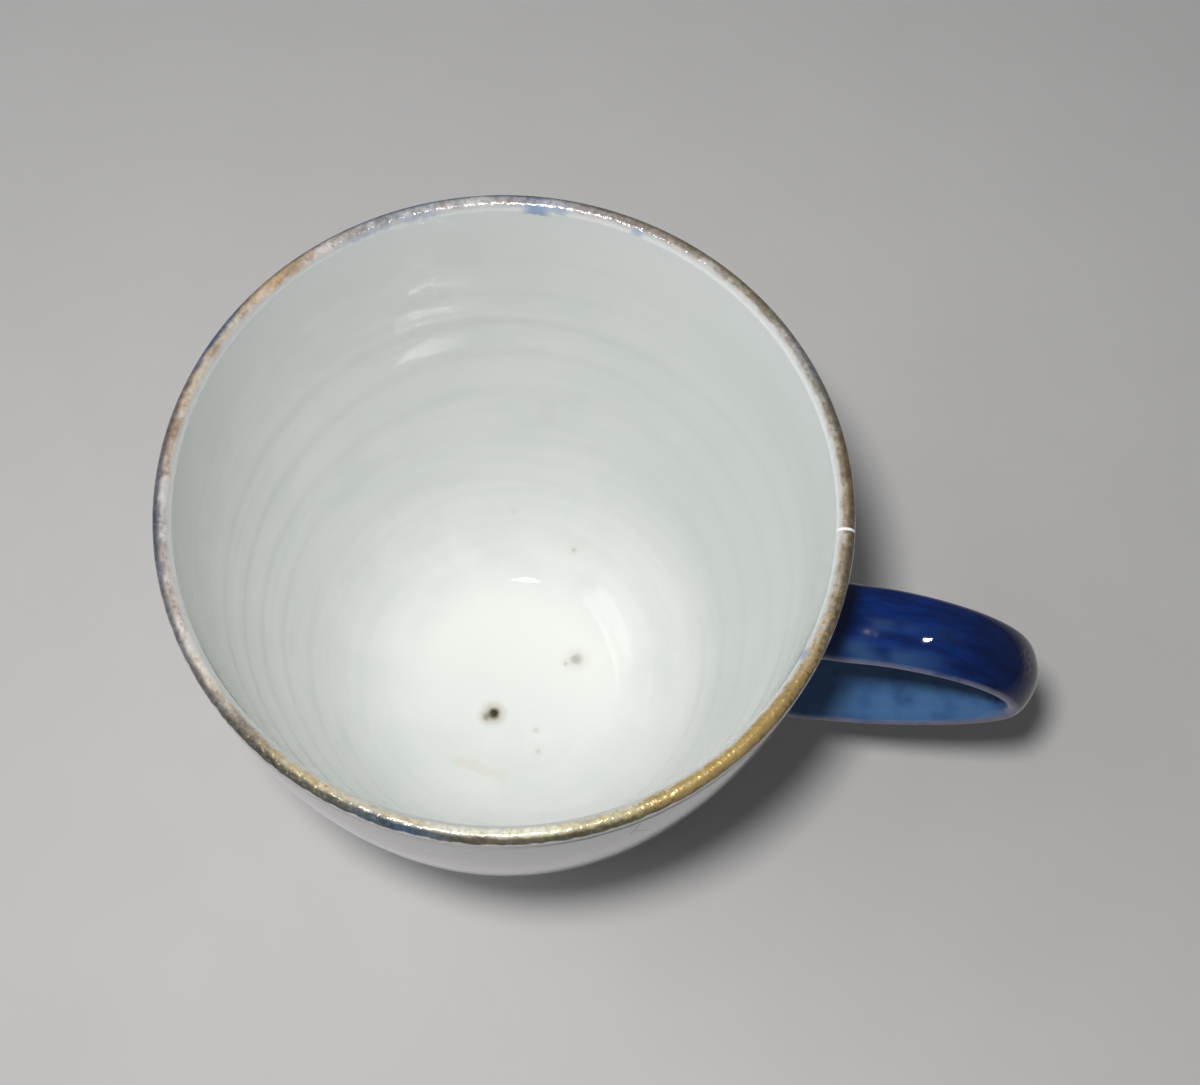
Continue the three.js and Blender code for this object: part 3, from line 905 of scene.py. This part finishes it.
# How strongly the cobalt line shows below the gold:
BLUE_SHOWS = (
    (-180, 0.30), (-120, 0.12), (-76, 0.20), (-66, 0.95), (-28, 0.95), (16, 0.55),
    (31, 0.85), (70, 0.60), (100, 0.80), (150, 0.70), (180, 0.30),
)
# Blue runs inside the lip: angle, half width in degrees, depth in mm, strength.
BLUE_RUNS = (
    (95.5, 3.4, 1.9, 0.70),
    (91.5, 2.6, 1.4, 0.45),
    (76.5, 1.8, 1.6, 0.45),
    (127.0, 7.0, 1.2, 0.34),
    (117.0, 6.0, 1.2, 0.34),
    (-18.8, 1.6, 2.2, 0.50),
)


def blue_runs(g, colour, place, degrees, along):
    """Lays the blue that ran from under the gilding over a colour."""
    ragged = g.add(along, g.about_zero(g.noise(place, 1.3, 3.0), 1.2))
    for centre, half_width, depth, strength in BLUE_RUNS:
        run = painted_patch(g, degrees, ragged, centre, half_width, -0.1, -depth, strength)
        colour = g.mix(run, colour, BLUE_WASH)
    return colour


def worn_gilding():
    g = Graph("worn_gilding")
    place = g.place()
    degrees = g.round_place(place)[1]
    along = g.lip_place(place)
    ragged = g.noise(place, 0.75, 3.0)
    fine = g.noise(place, 3.2, 3.0)
    flakes = g.noise(place, 1.9, 4.0, roughness=0.65)
    edge = g.add(along, g.add(g.about_zero(ragged, 0.7), g.about_zero(flakes, 0.4)))

    # From the inside outwards: plain glaze, greyed glaze, worn gold, a dark film that is partly painted
    # reflection, and the outer glaze with its painted shade.
    colour = g.mix(g.step(along, -1.25, -0.65), WHITE_RIM, PALE_LIP)
    colour = blue_runs(g, colour, place, degrees, along)
    patches = g.noise(place, 0.33, 3.0)
    shade = g.mix(g.step(flakes, 0.36, 0.64), *FLAKE_TINTS)
    shade = g.tint(shade, g.mix(g.step(patches, 0.36, 0.64), *PATCH_TINTS))
    # The crest's pale front tones are a painted highlight.
    crest = g.tint(g.around(degrees, CREST_TONES_AND_HIGHLIGHT), shade)
    flecked = g.around(degrees, FLECKS)
    worn_off = g.mul(g.step(patches, 0.52, 0.60), g.sub(0.85, flecked))
    crest = g.mix(g.mul(g.mul(worn_off, g.step(edge, 0.25, -0.10)), 0.8), crest, LILAC_WHITE)
    colour = g.mix(g.step(edge, -0.80, -0.25), colour, crest)
    film_from = g.around(degrees, FILM_FROM)
    # The film's dark brown tones are a painted reflection of a dark room; its blue tones are the cobalt
    # stain.
    film = g.tint(g.around(degrees, FILM_TONES_AND_REFLECTION), shade)
    colour = g.mix(g.step(g.sub(edge, film_from), -0.25, 0.30), colour, film)
    past_film = g.step(g.add(along, g.about_zero(ragged, 0.7)), FILM_END, FILM_END + 0.25)
    # Past the film, the outer glaze with its painted shade.
    colour = g.mix(past_film, colour, WHITE_OUTSIDE_SHADED)

    grain = g.add(g.mul(flakes, 0.6), g.mul(fine, 0.4))
    bright = g.sub(grain, g.sub(0.74, g.mul(flecked, 0.40)))
    on_crest = g.mul(g.step(edge, -0.75, -0.35), g.step(edge, 0.95, 0.45))
    fleck = g.mul(g.step(bright, 0.0, 0.10), on_crest)
    colour = g.mix(g.mul(fleck, 0.65), colour, FLECK_GOLD)
    hairline = g.step(g.math("ABSOLUTE", g.sub(degrees, HAIRLINE_AT_LIP)), 0.34, 0.12)
    colour = g.mix(g.mul(hairline, 0.9), colour, CRACK_WHITE)

    hammered = g.add(g.noise(place, 2.4, 3.0), g.mul(g.noise(place, 0.6, 2.0), 1.6))
    return g.finish(
        Base_Color=colour,
        Metallic=g.mul(fleck, 0.6),
        Roughness=g.add(g.add(0.10, g.mul(fleck, 0.12)), g.mul(fine, 0.10)),
        Normal=g.bump(hammered, 0.55, 0.10),
    )


def cobalt_line():
    g = Graph("cobalt_line")
    place = g.place()
    degrees = g.round_place(place)[1]
    along = g.lip_place(place)
    wash = g.noise(place, 0.7, 3.0)
    blue = g.mix(g.step(wash, 0.40, 0.64), COBALT_DARK, COBALT_MID)
    lower_edge = g.step(g.add(along, g.about_zero(g.noise(place, 0.9, 3.0), 1.2)), 3.2, 2.7)
    # Where the line doesn't show, the outer glaze with its painted shade.
    shows = g.mul(g.around(degrees, BLUE_SHOWS), lower_edge)
    return g.finish(
        Base_Color=g.mix(shows, WHITE_OUTSIDE_SHADED, blue),
        Roughness=g.add(0.08, g.mul(wash, 0.10)),
        Normal=g.bump(g.noise(place, 0.9, 2.0), 0.3, 0.08),
    )


# ---------------------------------------------------------------- cobalt glaze

COBALT_DEEP = (0.0018, 0.010, 0.074)
COBALT_CLEAR = (0.0030, 0.027, 0.165)
COBALT_BEND_DARK = (0.0010, 0.0045, 0.030)
COBALT_THIN = (0.060, 0.150, 0.325)
ARRIS = (0.20, 0.20, 0.29)  # where the glaze has drawn back from the strap's edge
GILT_TRACE = (0.40, 0.29, 0.22)
GILT_TRACE_AT = (55.6, 0.9, 27.0)  # in a space drawn out by GILT_TRACE_STRETCH
GILT_TRACE_STRETCH = (1.0, 0.8, 0.6)
STREAK_STRETCH = (0.22, 1.1, 0.35)  # streaks run along the strap
STRAP_FROM_WALL = 26.0  # the run over which the strap's width changes


def cobalt_glaze():
    g = Graph("cobalt_glaze")
    place = g.place()
    x, y, z = g.split(place)
    # From the loop's own middle, to tell its outer face from its inner one.
    from_x = g.sub(x, LOOP_TOP_REACH - 1.0)
    from_z = g.sub(z, (LOOP_TOP + LOWER_ROOT) / 2)
    away = g.math("SQRT", g.math("MULTIPLY_ADD", from_x, from_x, g.mul(from_z, from_z)))
    nx, _, nz = g.split(g.normal())
    outward = g.add(g.mul(nx, from_x), g.mul(nz, from_z))
    inner_face = g.step(g.math("DIVIDE", outward, away), -0.1, -0.6)
    streaky = g.noise(g.vector("MULTIPLY", place, STREAK_STRETCH), 1.0, 3.0, distortion=0.5)
    mottled = g.noise(place, 0.36, 3.0, roughness=0.5)
    colour = g.mix(g.step(streaky, 0.25, 0.80), COBALT_DEEP, COBALT_CLEAR)
    # It is coloured darker round the bend.
    colour = g.mix(g.mul(g.step(x, LOOP_TOP_REACH + 3.0, LOOP_REACH), 0.75), colour, COBALT_BEND_DARK)
    # Paler over the ridge, where the glaze is thinner and a highlight is painted along it, and along the
    # edge towards -Y, where the glaze is thinner.
    soft = g.noise(place, 0.22, 1.0)
    ridge = g.mul(g.step(g.math("ABSOLUTE", g.add(y, 0.5)), 1.2, 0.1), g.step(soft, 0.36, 0.62))
    near_edge = g.mul(g.step(y, -1.6, -3.1), g.step(soft, 0.34, 0.60))
    arm = g.step(x, LOOP_TOP_REACH + 9.0, LOOP_TOP_REACH - 1.0)
    pale = g.mul(g.math("MAXIMUM", g.mul(ridge, 0.30), g.mul(near_edge, 0.45)), arm)
    colour = g.mix(pale, colour, COBALT_THIN)
    colour = g.mix(g.mul(inner_face, g.step(mottled, -0.05, 0.62)), colour, COBALT_THIN)
    widening = (ROOT_WIDTH - STRAP_WIDTH) / 2 / STRAP_FROM_WALL
    half_width = g.add(STRAP_WIDTH / 2, g.mul(g.sub(LOOP_REACH, x), widening))
    edge = g.step(g.math("DIVIDE", g.math("ABSOLUTE", y), half_width), 0.90, 0.99)
    edge = g.mul(edge, g.step(g.noise(place, 0.35, 2.0), 0.20, 0.55))
    colour = g.mix(g.mul(edge, 0.62), colour, ARRIS)
    stretched = g.vector("MULTIPLY", place, GILT_TRACE_STRETCH)
    from_trace = g.add(g.vector("DISTANCE", stretched, GILT_TRACE_AT), g.mul(mottled, 3.0))
    gilt = g.mul(g.step(from_trace, 4.2, 2.0), g.step(g.noise(place, 2.2, 3.0), 0.42, 0.60))
    colour = g.mix(g.mul(gilt, 0.30), colour, GILT_TRACE)
    pin_distance, pin_chance = g.cells(place, 0.55)
    pin = g.mul(g.step(pin_distance, 0.12, 0.02), g.step(g.split(pin_chance)[0], 0.6, 0.8))
    relief = g.add(g.noise(place, 0.45, 2.0), g.mul(pin, 0.5))
    return g.finish(
        Base_Color=colour,
        Roughness=g.add(0.05, g.mul(mottled, 0.06)),
        Normal=g.bump(relief, 0.40, 0.10),
        IOR=GLAZE_IOR,
    )


# ---------------------------------------------------------------- the cup's pieces

# Where the painted lines run, as distances along the skin from the top of the lip.
GILT_LINE = (-1.25, 2.2)
BLUE_LINE = (2.3, 3.5)
BLUE_LIFT = 0.02
GILT_ROWS = 30
BLUE_ROWS = 12

glaze = white_glaze()
blue = cobalt_glaze()

body = make_body(glaze)
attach(body, "root")
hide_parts("cup_body")

foot = make_foot(bare_foot())
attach(foot, "root")
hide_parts("foot_ring")

gilding = make_band("gilt_line", *GILT_LINE, GILT_LIFT, GILT_ROWS, worn_gilding(), seed=11)
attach(gilding, "root")
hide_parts("gilt_rim")

line = make_band("cobalt_line", *BLUE_LINE, BLUE_LIFT, BLUE_ROWS, cobalt_line(), seed=23)
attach(line, "root")
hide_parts("cobalt_rim_line")

strap_rings = make_strap_rings(STRAP_RINGS)
strap = make_strap(strap_rings, blue)
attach(strap, "root")
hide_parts("handle")

for name, ring, centre_z, node in (
    ("upper_slip_joint", strap_rings[0], UPPER_ROOT, "handle_upper_luting"),
    ("lower_slip_joint", strap_rings[-1], LOWER_ROOT, "handle_lower_luting"),
):
    joint = make_slip_joint(name, ring, centre_z, blue)
    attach(joint, "root")
    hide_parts(node)


# ---------------------------------------------------------------- floor, light and camera

FLOOR_HALF = 1.5  # metres
FLOOR_GREYS = ((0.56, 0.555, 0.555), (0.60, 0.595, 0.595))
FLOOR_GRAIN = 60.0  # noise scale, per metre
WORLD_COLOUR = (0.80, 0.81, 0.83, 1)
WORLD_STRENGTH = 0.13
CUP_MIDDLE = (0, 0, HEIGHT / 2)
WHITE_LIGHT = (1, 1, 1)
# Softboxes: name, place, what they point at, width, watts, colour.
SOFTBOXES = (
    ("key", (-8, -60, 285), (0, 0, 30), 26, 0.53, (1.0, 0.99, 0.97)),
    ("fill", (-420, -60, 420), CUP_MIDDLE, 520, 0.9, WHITE_LIGHT),
)


def make_floor():
    mesh = bpy.data.meshes.new("floor")
    corners = ((-1, -1), (1, -1), (1, 1), (-1, 1))
    mesh.from_pydata([(x * FLOOR_HALF, y * FLOOR_HALF, 0) for x, y in corners], [], [(0, 1, 2, 3)])
    g = Graph("floor")
    source = g.nodes.new("ShaderNodeTexCoord")
    grain = g.noise(source.outputs["Object"], FLOOR_GRAIN, 3.0)
    colour = g.mix(grain, *FLOOR_GREYS)
    mesh.materials.append(g.finish(Base_Color=colour, Roughness=0.85))
    floor = bpy.data.objects.new("floor", mesh)
    bpy.context.scene.collection.objects.link(floor)


def in_frame(point):
    """A point in millimetres round the cup's axis, in the part's frame."""
    return Vector(point) * MM + Vector((AXIS_X, 0, 0))


def aim(thing, target, roll=0.0):
    """Turns a camera or a light at its place so that it looks at a point, then rolls it."""
    looking = (target - thing.location).to_track_quat("-Z", "Y").to_matrix()
    thing.rotation_euler = (looking @ Matrix.Rotation(roll, 3, "Z")).to_euler()


def add_softbox(name, place, target, width, watts, colour):
    light = bpy.data.lights.new(name, "AREA")
    light.shape = "DISK"
    light.size = width * MM
    light.energy = watts
    light.color = colour
    box = bpy.data.objects.new(name, light)
    box.location = in_frame(place)
    bpy.context.scene.collection.objects.link(box)
    aim(box, in_frame(target))


def make_world():
    world = bpy.data.worlds.new("studio")
    world.use_nodes = True
    background = world.node_tree.nodes["Background"]
    background.inputs["Color"].default_value = WORLD_COLOUR
    background.inputs["Strength"].default_value = WORLD_STRENGTH
    bpy.context.scene.world = world


LENS_MM = 57.0
SENSOR_WIDTH = 36.0
NEAREST_SEEN = 0.005  # metres
CAMERA_DISTANCE = 177.6
CAMERA_TARGET = (9.6, -3.0, 65.0)
CAMERA_ELEVATION = math.radians(68.7)
CAMERA_AZIMUTH = math.radians(-83.5)  # from +X towards +Y
CAMERA_ROLL = math.radians(3.94)


def make_camera():
    data = bpy.data.cameras.new("camera")
    data.lens = LENS_MM
    data.sensor_width = SENSOR_WIDTH
    data.clip_start = NEAREST_SEEN
    camera = bpy.data.objects.new("camera", data)
    level = math.cos(CAMERA_ELEVATION)
    x, y = level * math.cos(CAMERA_AZIMUTH), level * math.sin(CAMERA_AZIMUTH)
    direction = Vector((x, y, math.sin(CAMERA_ELEVATION)))
    target = Vector(CAMERA_TARGET)
    camera.location = in_frame(target + direction * CAMERA_DISTANCE)
    bpy.context.scene.collection.objects.link(camera)
    aim(camera, in_frame(target), CAMERA_ROLL)
    bpy.context.scene.camera = camera


make_floor()
make_world()
make_camera()
for softbox in SOFTBOXES:
    add_softbox(*softbox)
bpy.context.scene.view_settings.view_transform = "Standard"
